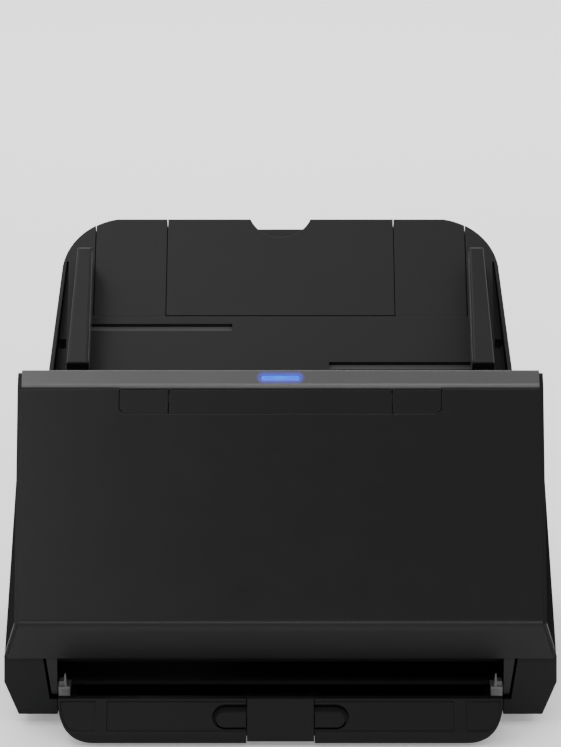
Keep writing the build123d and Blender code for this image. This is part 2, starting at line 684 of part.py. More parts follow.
def tray_tip():
    """Second pull-out stage with a finger notch in its top edge."""
    edge = TIP_HALF + TIP_EDGE
    stage = box(-edge, edge, EXT_END_U + 6, EXT_TOP_U, TIP_FLOOR_N, EXT_SHELF_N)
    stage += box(-TIP_HALF, TIP_HALF, EXT_START_U + 1, EXT_TOP_U, EXT_SHELF_N - 1, -EXT_CLEAR)
    stage -= Pos(0, EXT_TOP_U + 6, 0) * Cylinder(18.0, 60.0)
    return RECLINED * stage


# Front unit

def cover_profile(inset):
    face_n = FRONT_DEPTH - inset
    edge_z = COVER_EDGE_Z + (inset if inset else 0)
    rear_n = COVER_BACK_N if not inset else -12.0
    rear_u = (edge_z - ORIGIN_Z) / PATH_SIN - rear_n
    return [slope(LIP_END_U, face_n), slope(CREASE_U + inset * 0.4, face_n),
            (COVER_EDGE_Y + inset, edge_z), slope(rear_u, rear_n), slope(LIP_END_U, rear_n)]


def cover_width(inset):
    """Front outline of the cover in x and z: narrowest at the crease, flared below it."""
    top_z = FAR
    crease_z = crease()[1]
    half = [(COVER_HALF_TOP - inset, top_z), (COVER_HALF_TOP - inset, LIP_Z - 8.0),
            (COVER_HALF_CREASE - inset, crease_z), (COVER_HALF_EDGE - inset, COVER_EDGE_Z),
            (COVER_HALF_EDGE - inset, 0.0)]
    return half + [(-x, z) for x, z in reversed(half)]


def strip_outline(grow):
    """Outline of the key strip in x and u with its lower corners rounded."""
    low = STRIP_BOTTOM_U - grow
    outline = Pos(0, (low + LIP_END_U + 3) / 2) * Rectangle(2 * (KEY_END + grow), LIP_END_U + 3 - low)
    return fillet(outline.vertices().group_by(Axis.Y)[0], KEY_CORNER)


def side_strips():
    """Narrow strips proud of both sides of the cover and the lip, down to the lower edge."""
    rear_u = (COVER_EDGE_Z - ORIGIN_Z) / PATH_SIN - COVER_BACK_N
    rail = prism([slope(RAIL_TOP_U, COVER_BACK_N), slope(RAIL_TOP_U, RAIL_FRONT_N - RAIL_CORNER),
                  slope(RAIL_TOP_U - RAIL_CORNER, RAIL_FRONT_N), slope(CREASE_U + RAIL_CORNER, RAIL_FRONT_N),
                  (COVER_EDGE_Y + COVER_SKIN, COVER_EDGE_Z), slope(rear_u, COVER_BACK_N)], -FAR, FAR)
    rail &= section(cover_width(-RAIL_PROUD), -FAR, FAR)
    rail -= section(cover_width(0.6), -FAR, FAR)
    beside_lip = prism([slope(LIP_END_U, -FAR), slope(LIP_END_U, FAR), slope(FAR, FAR), slope(FAR, -FAR)], -FAR, FAR)
    return rail - (beside_lip & section(cover_width(-0.05), -FAR, FAR))


def front_cover():
    """Hollow reclined cover with side returns, a flared lower edge and two hinge arms."""
    cover = prism(cover_profile(0.0), -FAR, FAR) & section(cover_width(0.0), -FAR, FAR)
    crease_y, crease_z = crease()
    bend = [e for e in cover.edges().filter_by(Axis.X)
            if abs(e.center().Y - crease_y) < 0.6 and abs(e.center().Z - crease_z) < 0.6]
    cover = fillet(bend, CREASE_R)
    cover -= prism(cover_profile(COVER_SKIN), -FAR, FAR) & section(cover_width(COVER_SKIN), -FAR, FAR)
    # The lower edge is open at the exit, and the strip opening is cut in the face
    cover -= box(-ARM_IN + 3.0, ARM_IN - 3.0, COVER_EDGE_Y + COVER_SKIN, -60, COVER_EDGE_Z - 1, 46)
    cover -= RECLINED * Pos(0, 0, FRONT_DEPTH - 6) * extrude(strip_outline(KEY_CLEAR), 12)
    arm = prism([(HINGE_Y - ARM_R, HINGE_Z), (HINGE_Y - ARM_R, 44.0), (HINGE_Y + ARM_R, 44.0),
                 (HINGE_Y + ARM_R, HINGE_Z)], ARM_IN, ARM_OUT)
    arm += rod(ARM_R, ARM_IN, ARM_OUT, HINGE_Y, HINGE_Z)
    low_z = HINGE_Z - ARM_R
    arm &= section([(ARM_IN - 1, low_z - 1), (ARM_OUT_LOW, low_z - 1), (ARM_OUT_LOW, low_z),
                    (ARM_OUT, BLOCK_TOP_Z), (ARM_OUT, 60.0), (ARM_IN - 1, 60.0)], -110, -60)
    arm -= rod(HINGE_PIN_R + HINGE_CLEAR, 0, FAR, HINGE_Y, HINGE_Z)
    return cover + arm + mirrored(arm) + side_strips()


def top_bezel():
    """Lip across the top with the funnel wall that leads the paper in."""
    band = prism([slope(-LIP_HEIGHT, FRONT_DEPTH), slope(0, FRONT_DEPTH), slope(0.5, 22.0),
                  slope(-1.0, LIP_BACK_N), slope(-LIP_HEIGHT, LIP_BACK_N)], -FAR, FAR)
    band &= section(cover_width(0.0), -FAR, FAR)
    top = band.edges().filter_by(Axis.X).sort_by(Axis.Y)[0:2].sort_by(Axis.Z)[-1:]
    band = fillet(top, LIP_RADIUS)
    cap = prism([slope(-LIP_HEIGHT, COVER_BACK_N), slope(-LIP_HEIGHT, LIP_BACK_N + 1),
                 slope(-1.0, LIP_BACK_N + 1), slope(-1.0, COVER_BACK_N)], LIP_CAP_X, FAR)
    cap &= section(cover_width(0.0), -FAR, FAR)
    funnel = prism([slope(-1.0, LIP_BACK_N), slope(MOUTH_END_U, PATH_GAP),
                    slope(MOUTH_END_U, PATH_GAP + 2.4), slope(-LIP_HEIGHT, LIP_BACK_N + 2.0)],
                   -GUIDE_HALF, GUIDE_HALF)
    bezel = band + cap + mirrored(cap) + funnel
    return bezel - lamp_form(0.0, 8.0)


def lamp_form(gap, tall):
    """Oblong with round ends in the middle of the lip, drawn in by gap."""
    outline = SlotOverall(2 * (LAMP_HALF - gap), LAMP_TALL - 2 * gap)
    return RECLINED * Pos(0, LAMP_U, FRONT_DEPTH - LAMP_DEEP) * extrude(outline, tall)


def key_cap(x0, x1):
    cap = outline_block([(x0, STRIP_BOTTOM_U), (x1, STRIP_BOTTOM_U), (x1, LIP_END_U - KEY_CLEAR),
                         (x0, LIP_END_U - KEY_CLEAR)], KEY_TOP_N - KEY_THICK, KEY_TOP_N)
    rounded = Pos(0, 0, KEY_TOP_N - 20) * extrude(strip_outline(0.0), 40)
    return cap & rounded


def right_key():
    stem = Pos(KEY_STEM_X, KEY_STEM_U, KEY_TOP_N - KEY_THICK - 1.5) * Cylinder(2.0, 3.2)
    return RECLINED * (key_cap(LEVER_HALF + KEY_GAP, KEY_END) + stem)


def opening_lever():
    """Wide key that rocks on a shaft along its lower edge."""
    cap = key_cap(-LEVER_HALF, LEVER_HALF)
    for x in (-48.0, 0.0, 48.0):
        cap += box(x - 2, x + 2, LEVER_U - 1.8, LEVER_U + 3, LEVER_N - 1.0, KEY_TOP_N - KEY_THICK + 0.1)
    shaft = Pos(0, LEVER_U, LEVER_N) * Rot(0, 90, 0) * Cylinder(LEVER_SHAFT_R, 112.0)
    return RECLINED * (cap + shaft)


def key_frame():
    """Carrier behind the strip: a board with two switches and two lugs for the lever shaft."""
    top_n = CARRIER_N + 1.6
    half = KEY_END + 4.8
    carrier = box(-half, half, STRIP_BOTTOM_U - 6.0, LIP_END_U - 4.6, CARRIER_N, top_n)
    for x in (-KEY_STEM_X, KEY_STEM_X):
        carrier += box(x - 3, x + 3, KEY_STEM_U - 2, KEY_STEM_U + 2, top_n - 0.1, top_n + 0.6)
    for x in (-54.0, 54.0):
        carrier += box(x - 1.5, x + 1.5, LEVER_U - 3.5, LEVER_U + 3.5, top_n - 0.1, LEVER_N + 2.2)
    carrier -= Pos(0, LEVER_U, LEVER_N) * Rot(0, 90, 0) * Cylinder(LEVER_SHAFT_R + RUN_CLEAR, 2 * FAR)
    for x in (2 - half, half - 2):
        carrier += box(x - 2, x + 2, STRIP_BOTTOM_U - 5.5, STRIP_BOTTOM_U - 2.0, top_n - 0.1, FRONT_DEPTH - COVER_SKIN)
    return RECLINED * carrier


def front_guide():
    """Sheet in front of the paper with cheeks that carry the pinch and retard shafts."""
    top_u = MOUTH_END_U - 0.5
    sheet = box(-GUIDE_HALF, GUIDE_HALF, GUIDE_BOTTOM_U, top_u, PATH_GAP, PATH_GAP + GUIDE_THICK)
    for x0 in (-CHEEK_X, CHEEK_X - 2.0):
        sheet += box(x0, x0 + 2.0, GUIDE_BOTTOM_U, top_u, PATH_GAP, 22.0)
    for u in (DRIVE_U, EJECT_U):
        for x in (-TYRE_X_OUT, -TYRE_X_IN, TYRE_X_IN, TYRE_X_OUT):
            sheet -= box(x - TYRE / 2 - 2, x + TYRE / 2 + 2, u - 5.6, u + 5.6, -1, 9)
        axle = Pos(0, u, front_axis(PINCH_R)) * Rot(0, 90, 0)
        sheet -= axle * Cylinder(PINCH_SHAFT_R + RUN_CLEAR, 2 * FAR)
    sheet -= box(-24.0, 24.0, FEED_U - 11.5, top_u + 1, -1, 9)
    for x in (-RETARD_CHEEK, RETARD_CHEEK - 2.0):
        sheet += box(x, x + 2.0, FEED_U - 8.0, top_u, PATH_GAP, 17.0)
    axle = Pos(0, FEED_U, front_axis(RETARD_R)) * Rot(0, 90, 0)
    sheet -= axle * Cylinder(PINCH_SHAFT_R + RUN_CLEAR, 60)
    half = SENSOR_WIDE / 2 + 0.4
    sheet -= box(-SENSOR_HALF - 0.4, SENSOR_HALF + 0.4, FRONT_SENSOR_U - half, FRONT_SENSOR_U + half, -1, 9)
    # Brackets that meet the side returns of the cover
    for u in (-70.0, -130.0):
        arm = box(CHEEK_X - 0.1, COVER_HALF_CREASE - COVER_SKIN + 0.2, u - 4, u + 4, 12.0, 14.0)
        sheet += arm + mirrored(arm)
    return RECLINED * sheet


def hinge_bracket():
    """Right-hand bracket on the pan with a thin upright finger, and the pin it carries."""
    part = box(BRACKET_IN, BRACKET_OUT, BRACKET_FRONT_Y, PAN_FRONT_Y, 13.0, BRACKET_TOP_Z)
    part = fillet(part.edges().group_by(Axis.Z)[-1].filter_by(Axis.X), 1.0)
    boss = prism([(HINGE_Y - 3.5, 20.0), (HINGE_Y - 3.0, HINGE_Z + 4.0), (HINGE_Y + 3.0, HINGE_Z + 4.0),
                  (PAN_FRONT_Y, 20.0)], BRACKET_IN + 2.4, BRACKET_OUT)
    finger = section([(BRACKET_IN + 1.4, 20.0), (BRACKET_IN + 3.6, 20.0), (BRACKET_IN + 2.8, FINGER_TOP_Z),
                      (BRACKET_IN + 2.2, FINGER_TOP_Z)],
                     BRACKET_FRONT_Y + 1.0, BRACKET_FRONT_Y + 2.6)
    return part + boss + finger + rod(HINGE_PIN_R, BRACKET_OUT - 1, ARM_OUT_LOW, HINGE_Y, HINGE_Z)


# Output drawer

def apron_profile(inset):
    low_z = APRON_BOTTOM_Z - (1 if inset else 0)
    return [(APRON_FRONT_Y + inset, low_z), (APRON_FRONT_Y + inset, APRON_NOSE_Z - inset * 0.4),
            (APRON_TOP_Y + inset * 0.4, APRON_TOP_Z - inset), (APRON_BACK_Y - inset, APRON_TOP_Z - inset),
            (APRON_BACK_Y - inset, low_z)]


def apron_plan(inset):
    """Drawer's front as seen from above and from the front, with its corners rounded in both."""
    depth = PAN_FRONT_Y - APRON_FRONT_Y
    outline = Pos(0, APRON_FRONT_Y + inset + depth / 2) * Rectangle(2 * (APRON_HALF - inset), depth)
    outline = fillet(outline.vertices().group_by(Axis.Y)[0], APRON_CORNER - inset)
    low_z = APRON_BOTTOM_Z + inset / 2
    front = Pos(0, low_z + depth) * Rectangle(2 * (APRON_HALF - inset), 2 * depth)
    front = fillet(front.vertices().group_by(Axis.Y)[0], APRON_SWEEP - inset)
    return extrude(outline, 60) & extrude(Plane.XZ.offset(FAR) * front, -2 * FAR)


def apron_face(shape, depth_from, depth_to):
    """Carries a flat outline on the apron's slope inwards from one depth to another."""
    run = APRON_TOP_Y - APRON_FRONT_Y
    rise = APRON_TOP_Z - APRON_NOSE_Z
    middle = (0, APRON_FRONT_Y + run / 2, APRON_NOSE_Z + rise / 2)
    length = (run ** 2 + rise ** 2) ** 0.5
    slope_plane = Plane(origin=middle, x_dir=(1, 0, 0), z_dir=(0, -rise / length, run / length))
    return slope_plane.location * Pos(0, 0, -depth_to) * extrude(shape, depth_to - depth_from)


def output_drawer():
    """Drawer that slides forward, with a sloped apron and an oblong finger recess in it."""
    apron = prism(apron_profile(0.0), -APRON_HALF, APRON_HALF) & apron_plan(0.0)
    hollow = prism(apron_profile(2.4), SOLID_HALF, APRON_HALF - 4.0) & apron_plan(3.4)
    apron -= hollow + mirrored(hollow)
    # Shallow field inside the rim, with an upright ridge left standing in it
    inner_end = SLIDE_HALF + SLIDE_GAP
    flat = Pos(inner_end + FAR / 2, FIELD_TOP - FIELD_TALL / 2) * Rectangle(FAR, FIELD_TALL)
    field = apron_face(flat, -3.0, FIELD_DEEP) & apron_plan(FIELD_RIM)
    field -= box(RIDGE_IN, RIDGE_OUT, -140, -90, 0, 60)
    apron -= field + mirrored(field)
    apron -= apron_face(SlotOverall(2 * GRIP_HALF, GRIP_TALL), -3.0, GRIP_DEEP)
    bar = apron_face(Pos(0, -1.6) * SlotOverall(2 * GRIP_HALF - 4.0, GRIP_TALL - 5.2), 0.6, GRIP_DEEP + 0.2)
    apron += bar
    middle = SLIDE_HALF + SLIDE_GAP
    apron -= prism([(-130, 2.0), (-130, 40), (-110.4, 40), (-110.4, 18.8), (-118.0, 11.0), (-118.0, 8.6),
                    (-115.6, 8.6), (-115.6, 2.0)], -middle, middle)
    slot_top = SLIDE_Z + SLIDE_THICK + SLIDE_GAP
    apron -= box(-middle, middle, -130, -100, SLIDE_Z - SLIDE_GAP, slot_top)
    tray = box(-DRAWER_HALF, DRAWER_HALF, APRON_BACK_Y - 1, DRAWER_REAR_Y, DRAWER_Z, DRAWER_WALL_TOP)
    inner = DRAWER_HALF - DRAWER_WALL
    floor_z = DRAWER_Z + DRAWER_FLOOR
    tray -= box(-inner, inner, APRON_BACK_Y, DRAWER_REAR_Y - DRAWER_WALL, floor_z, 40)
    tray -= box(-middle, middle, APRON_BACK_Y - 5, APRON_BACK_Y + 1, floor_z, 40)
    rail_end = SLIDE_REAR_Y + 6
    rail = box(middle, middle + 2.4, APRON_BACK_Y, rail_end, floor_z - 0.1, slot_top + 1.6)
    rail += box(middle - 3, middle + 2.4, APRON_BACK_Y, rail_end, slot_top, slot_top + 1.6)
    return apron + tray + rail + mirrored(rail)


def output_slide():
    """Flat arm in the drawer whose front end carries the lugs and the pin of the paper stop."""
    arm = box(-SLIDE_HALF, SLIDE_HALF, -117.0, SLIDE_REAR_Y, SLIDE_Z, SLIDE_Z + SLIDE_THICK)
    lug = prism([(STOP_Y, STOP_Z - 1.2), (STOP_Y, STOP_Z + 1.2), (-118.4, 11.0), (-116.0, 11.2),
                 (-116.0, SLIDE_Z), (-117.4, SLIDE_Z), (-119.8, STOP_Z - 1.2)], LUG_IN, LUG_OUT)
    lug += rod(STOP_KNUCKLE_R - 0.2, LUG_IN, LUG_OUT, STOP_Y, STOP_Z)
    pin = rod(STOP_PIN_R, -LUG_OUT, LUG_OUT, STOP_Y, STOP_Z)
    return arm + lug + mirrored(lug) + pin


def paper_stop():
    """Plate that fills the middle of the apron and swings upright at the end of the slide."""
    gap = 0.15
    blade = prism(apron_profile(0.0), -SLIDE_HALF, SLIDE_HALF)
    blade -= prism([(APRON_FRONT_Y + 1.2, 0), (APRON_FRONT_Y + 1.2, 6.6), (APRON_TOP_Y + 1.0, 20.4),
                    (APRON_TOP_Y + 1.0, 40), (-90, 40), (-90, 0)], -50, 50)
    blade -= box(-50, 50, -130, -100, 0, APRON_BOTTOM_Z + 0.8 + gap)
    knuckle = rod(STOP_KNUCKLE_R, -STOP_KNUCKLE_HALF, STOP_KNUCKLE_HALF, STOP_Y, STOP_Z)
    web = prism([(APRON_FRONT_Y + 1.0, STOP_Z - 1.2), (APRON_FRONT_Y + 1.0, STOP_Z + 0.6),
                 (STOP_Y, STOP_Z + 1.3), (STOP_Y, STOP_Z - 1.2)], -STOP_KNUCKLE_HALF, STOP_KNUCKLE_HALF)
    bore = rod(STOP_PIN_R + RUN_CLEAR, -20, 20, STOP_Y, STOP_Z)
    return blade + knuckle + web - bore


def main():
    os.makedirs("parts", exist_ok=True)
    wide_spots = (-TYRE_X_OUT, -TYRE_X_IN, TYRE_X_IN, TYRE_X_OUT)
    feed_spots = (-FEED_TYRE_X, FEED_TYRE_X)
    drive_n = body_axis(DRIVE_R)
    eject_n = body_axis(EJECT_R)
    pinch_n = front_axis(PINCH_R)
    save("base_pan", base_pan())
    save("rubber_feet", rubber_feet())
    side = right_side_cover()
    save("right_side_cover", side)
    save("left_side_cover", mirrored(side))
    save("rear_cover", rear_cover())
    save("power_jack", power_jack())
    save("usb_port", usb_port())
    save("main_board", main_board())
    frame = frame_plate()
    save("right_frame_plate", frame)
    save("left_frame_plate", mirrored(frame))
    save("rear_guide", rear_guide())
    save("rear_image_sensor", sensor_bar(REAR_SENSOR_U, -1))
    save("rear_sensor_glass", sensor_glass(REAR_SENSOR_U, -1))
    save("feed_tray", feed_tray())
    save("drive_motor", motor_body())
    save("motor_pulley", motor_pulley())
    save("timing_belt", timing_belt())
    save("feed_shaft", driven_shaft(FEED_U, FEED_R, FEED_PULLEY_R))
    save("feed_tyres", tyres(FEED_R, SHAFT_R, FEED_U, body_axis(FEED_R), feed_spots, FEED_TYRE))
    save("drive_shaft", driven_shaft(DRIVE_U, DRIVE_R, DRIVE_PULLEY_R))
    save("drive_tyres", tyres(DRIVE_R, SHAFT_R, DRIVE_U, drive_n, wide_spots, TYRE))
    save("eject_shaft", driven_shaft(EJECT_U, EJECT_R, DRIVE_PULLEY_R))
    save("eject_tyres", tyres(EJECT_R, SHAFT_R, EJECT_U, eject_n, wide_spots, TYRE))
    bracket = hinge_bracket()
    save("right_hinge_bracket", bracket)
    save("left_hinge_bracket", mirrored(bracket))
    save("right_document_guide", RECLINED * guide_wall())
    save("left_document_guide", RECLINED * mirrored(guide_wall()))
    save("right_guide_rack", RECLINED * guide_rack())
    save("left_guide_rack", RECLINED * turned(guide_rack()))
    save("guide_pinion", guide_pinion())
    save("tray_extension", tray_extension())
    save("tray_tip", tray_tip())
    save("front_cover", front_cover())
    save("top_bezel", top_bezel())
    save("lamp_lens", lamp_form(0.1, LAMP_DEEP - 0.05))
    key = right_key()
    save("right_key", key)
    save("left_key", mirrored(key))
    save("opening_lever", opening_lever())
    save("key_frame", key_frame())
    save("front_guide", front_guide())
    save("front_image_sensor", sensor_bar(FRONT_SENSOR_U, 1))
    save("front_sensor_glass", sensor_glass(FRONT_SENSOR_U, 1))
    retard_n = front_axis(RETARD_R)
    save("retard_shaft", tilted_rod(PINCH_SHAFT_R, -RETARD_CHEEK - 1.0, RETARD_CHEEK + 1.0, FEED_U, retard_n))
    save("retard_tyres", tyres(RETARD_R, PINCH_SHAFT_R, FEED_U, retard_n, feed_spots, FEED_TYRE))
    save("drive_pinch_shaft", tilted_rod(PINCH_SHAFT_R, -CHEEK_X - 1, CHEEK_X + 1, DRIVE_U, pinch_n))
    save("drive_pinch_tyres", tyres(PINCH_R, PINCH_SHAFT_R, DRIVE_U, pinch_n, wide_spots, TYRE))
    save("eject_pinch_shaft", tilted_rod(PINCH_SHAFT_R, -CHEEK_X - 1, CHEEK_X + 1, EJECT_U, pinch_n))
    save("eject_pinch_tyres", tyres(PINCH_R, PINCH_SHAFT_R, EJECT_U, pinch_n, wide_spots, TYRE))
    save("output_drawer", output_drawer())
    save("output_slide", output_slide())
    save("paper_stop", paper_stop())


main()
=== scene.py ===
from math import cos, pi, radians, sin

import bmesh
import bpy
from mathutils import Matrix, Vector


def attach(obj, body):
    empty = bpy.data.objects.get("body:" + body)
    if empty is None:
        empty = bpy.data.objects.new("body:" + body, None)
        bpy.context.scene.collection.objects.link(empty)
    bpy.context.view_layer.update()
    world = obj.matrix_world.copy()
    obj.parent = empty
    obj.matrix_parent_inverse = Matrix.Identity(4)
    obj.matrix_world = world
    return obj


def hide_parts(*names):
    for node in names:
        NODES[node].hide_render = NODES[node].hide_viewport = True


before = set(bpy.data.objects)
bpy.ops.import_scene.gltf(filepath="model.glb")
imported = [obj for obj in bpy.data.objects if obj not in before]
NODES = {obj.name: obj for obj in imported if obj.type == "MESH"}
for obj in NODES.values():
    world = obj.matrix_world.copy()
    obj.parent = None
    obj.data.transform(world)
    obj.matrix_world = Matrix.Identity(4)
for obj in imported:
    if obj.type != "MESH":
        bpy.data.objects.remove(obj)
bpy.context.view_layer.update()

# Reclined frame of the paper path, as in the part: u up the path, n out of it, in millimetres
ANGLE = radians(45)
ORIGIN_Y = 4.8 + 28 * sin(ANGLE)
ORIGIN_Z = 168.6 - 28 * cos(ANGLE)
MM = 0.001
LAMP_U = -4.7


def path_point(x, u, n):
    """Row-frame point, in metres, of x, u, n in millimetres."""
    y = ORIGIN_Y + u * cos(ANGLE) - n * sin(ANGLE)
    z = ORIGIN_Z + u * sin(ANGLE) + n * cos(ANGLE)
    return Vector((x * MM, y * MM, z * MM))


def flat_point(x, y, z):
    return Vector((x * MM, y * MM, z * MM))


# Materials

def plastic(name, color, rough=0.42, grain=2600.0, bump=0.05, vary=0.12, edge=0.4, spec=0.5, coat=0.0):
    """Moulded plastic: fine spark texture, slow colour drift, uneven gloss and softened edges."""
    mat = bpy.data.materials.new(name)
    mat.use_nodes = True
    tree = mat.node_tree
    shader = tree.nodes["Principled BSDF"]
    place = tree.nodes.new("ShaderNodeTexCoord")

    def noise(scale, detail=3.0):
        node = tree.nodes.new("ShaderNodeTexNoise")
        node.inputs["Scale"].default_value = scale
        node.inputs["Detail"].default_value = detail
        tree.links.new(place.outputs["Object"], node.inputs["Vector"])
        return node

    slow = noise(14.0)
    ramp = tree.nodes.new("ShaderNodeValToRGB")
    low = [c * (1 - vary) for c in color]
    high = [min(1.0, c * (1 + vary)) for c in color]
    ramp.color_ramp.elements[0].position = 0.3
    ramp.color_ramp.elements[1].position = 0.7
    ramp.color_ramp.elements[0].color = (*low, 1)
    ramp.color_ramp.elements[1].color = (*high, 1)
    tree.links.new(slow.outputs["Fac"], ramp.inputs["Fac"])
    tree.links.new(ramp.outputs["Color"], shader.inputs["Base Color"])
    patch = noise(60.0)
    gloss = tree.nodes.new("ShaderNodeMapRange")
    gloss.inputs["To Min"].default_value = rough - 0.05
    gloss.inputs["To Max"].default_value = rough + 0.05
    tree.links.new(patch.outputs["Fac"], gloss.inputs["Value"])
    tree.links.new(gloss.outputs["Result"], shader.inputs["Roughness"])
    fine = noise(grain, 2.0)
    relief = tree.nodes.new("ShaderNodeBump")
    relief.inputs["Strength"].default_value = bump
    relief.inputs["Distance"].default_value = 0.0002
    tree.links.new(fine.outputs["Fac"], relief.inputs["Height"])
    if edge:
        soft = tree.nodes.new("ShaderNodeBevel")
        soft.samples = 4
        soft.inputs["Radius"].default_value = edge * MM
        tree.links.new(soft.outputs["Normal"], relief.inputs["Normal"])
    tree.links.new(relief.outputs["Normal"], shader.inputs["Normal"])
    shader.inputs["Specular IOR Level"].default_value = spec
    shader.inputs["Coat Weight"].default_value = coat
    shader.inputs["Coat Roughness"].default_value = 0.25
    return mat


def metal(name, color, rough, stretch):
    """Brushed or plated metal with fine drawn lines along X."""
    mat = plastic(name, color, rough, grain=900.0, bump=0.08, vary=0.06, edge=0.25)
    tree = mat.node_tree
    shader = tree.nodes["Principled BSDF"]
    shader.inputs["Metallic"].default_value = 1.0
    mapping = tree.nodes.new("ShaderNodeMapping")
    mapping.inputs["Scale"].default_value = stretch
    place = next(n for n in tree.nodes if n.type == "TEX_COORD")
    tree.links.new(place.outputs["Object"], mapping.inputs["Vector"])
    for node in tree.nodes:
        if node.type == "TEX_NOISE" and node.inputs["Scale"].default_value > 500:
            tree.links.new(mapping.outputs["Vector"], node.inputs["Vector"])
    return mat


def lamp_material():
    """Lit blue light guide, whiter in the middle and violet towards its rim."""
    mat = bpy.data.materials.new("lamp_blue")
    mat.use_nodes = True
    tree = mat.node_tree
    shader = tree.nodes["Principled BSDF"]
    shader.inputs["Base Color"].default_value = (0.01, 0.06, 0.3, 1)
    shader.inputs["Roughness"].default_value = 0.25
    place = tree.nodes.new("ShaderNodeTexCoord")
    mapping = tree.nodes.new("ShaderNodeMapping")
    mapping.inputs["Location"].default_value = (-0.5 * 2, -0.5 * 2, -0.5 * 2)
    mapping.inputs["Scale"].default_value = (2, 2, 2)
    tree.links.new(place.outputs["Generated"], mapping.inputs["Vector"])
    ball = tree.nodes.new("ShaderNodeTexGradient")
    ball.gradient_type = "SPHERICAL"
    tree.links.new(mapping.outputs["Vector"], ball.inputs["Vector"])
    ramp = tree.nodes.new("ShaderNodeValToRGB")
    ramp.color_ramp.elements[0].color = (0.0, 0.10, 1.0, 1)
    ramp.color_ramp.elements[1].color = (0.05, 0.50, 1.0, 1)
    ramp.color_ramp.elements[1].position = 0.5
    tree.links.new(ball.outputs["Fac"], ramp.inputs["Fac"])
    tree.links.new(ramp.outputs["Color"], shader.inputs["Emission Color"])
    shader.inputs["Emission Strength"].default_value = 1.25
    return mat


def paint_lamp_glow_on_lip(mat):
    """Paints the blue spill of the lamp onto the lip as emission, a painted glow which fades out round the oblong
    light guide.
    """
    tree = mat.node_tree
    shader = tree.nodes["Principled BSDF"]

    def maths(operation, *values):
        node = tree.nodes.new("ShaderNodeMath")
        node.operation = operation
        for i, value in enumerate(values):
            if isinstance(value, float):
                node.inputs[i].default_value = value
            else:
                tree.links.new(value, node.inputs[i])
        return node.outputs[0]

    place = tree.nodes.new("ShaderNodeTexCoord")
    parts = tree.nodes.new("ShaderNodeSeparateXYZ")
    tree.links.new(place.outputs["Object"], parts.inputs["Vector"])
    lamp_z = path_point(0, LAMP_U, 28).z
    along = maths("MAXIMUM", maths("SUBTRACT", maths("ABSOLUTE", parts.outputs["X"]), 9.1 * MM), 0.0)
    up = maths("DIVIDE", maths("SUBTRACT", parts.outputs["Z"], lamp_z), sin(ANGLE))
    reach = maths("SQRT", maths("ADD", maths("MULTIPLY", along, along), maths("MULTIPLY", up, up)))
    fade = tree.nodes.new("ShaderNodeMapRange")
    fade.interpolation_type = "SMOOTHSTEP"
    fade.inputs["From Min"].default_value = 1.5 * MM
    fade.inputs["From Max"].default_value = 4.6 * MM
    fade.inputs["To Min"].default_value = 0.55
    fade.inputs["To Max"].default_value = 0.0
    tree.links.new(reach, fade.inputs["Value"])
    # Painted glow: blue emission on the lip standing in for the lamp's light, strongest beside the light guide
    shader.inputs["Emission Color"].default_value = (0.02, 0.03, 1.0, 1)
    tree.links.new(fade.outputs["Result"], shader.inputs["Emission Strength"])
    return mat


def glass_material():
    mat = plastic("sensor_glass", (0.05, 0.07, 0.07), 0.08, bump=0.0, edge=0.1, coat=1.0)
    mat.node_tree.nodes["Principled BSDF"].inputs["Coat Roughness"].default_value = 0.05
    return mat


FRONT = plastic("front_satin", (0.0060, 0.0060, 0.0064), 0.3, grain=3200.0, bump=0.035, vary=0.06, edge=0.5, spec=0.2)
SHELL = plastic("shell_satin", (0.0045, 0.0047, 0.0053), 0.46, bump=0.09, vary=0.08, edge=0.6, spec=0.14)
# Lip: base colour set far lighter than the front cover's, a painted highlight of its rounded band; the lamp's blue
# glow is painted on it as emission
LIP_PAINTED_LIGHT = paint_lamp_glow_on_lip(plastic("lip_painted_highlight_and_glow", (0.052, 0.052, 0.052), 0.32, bump=0.03, vary=0.05, edge=1.2, spec=0.7))
TRAY = plastic("tray_satin", (0.0070, 0.0070, 0.0074), 0.5, bump=0.12, vary=0.08, edge=0.6, spec=0.3)
# Drawer darker than the feed tray's plastic: painted shade of the drawer front under the overhang of the front unit
DRAWER_SHADED = plastic("drawer_satin_painted_shade", (0.0045, 0.0045, 0.0049), 0.46, bump=0.09, vary=0.08, edge=0.6, spec=0.14)
BLACK = plastic("inner_black", (0.0030, 0.0030, 0.0032), 0.65, bump=0.1, edge=0.3, spec=0.2)
GREY = plastic("bracket_grey", (0.075, 0.075, 0.077), 0.42, bump=0.05, edge=0.4)
RUBBER = plastic("roller_rubber", (0.03, 0.03, 0.032), 0.85, grain=5000.0, bump=0.4, vary=0.2, edge=0.3, spec=0.3)
STEEL = metal("plated_steel", (0.55, 0.55, 0.56), 0.3, (0.03, 1.0, 1.0))
MOTOR = metal("motor_case", (0.25, 0.25, 0.26), 0.45, (1.0, 1.0, 1.0))
BOARD = plastic("board_green", (0.015, 0.085, 0.035), 0.4, vary=0.25, edge=0.1)
# Light grey for the guides' inner strips: painted reflection of the paper in the glossy guide walls
REFLECTION_GREY = plastic("painted_reflection_grey", (0.055, 0.055, 0.057), 0.22, bump=0.02, edge=0.2, spec=0.5)
LAMP = lamp_material()
GLASS = glass_material()

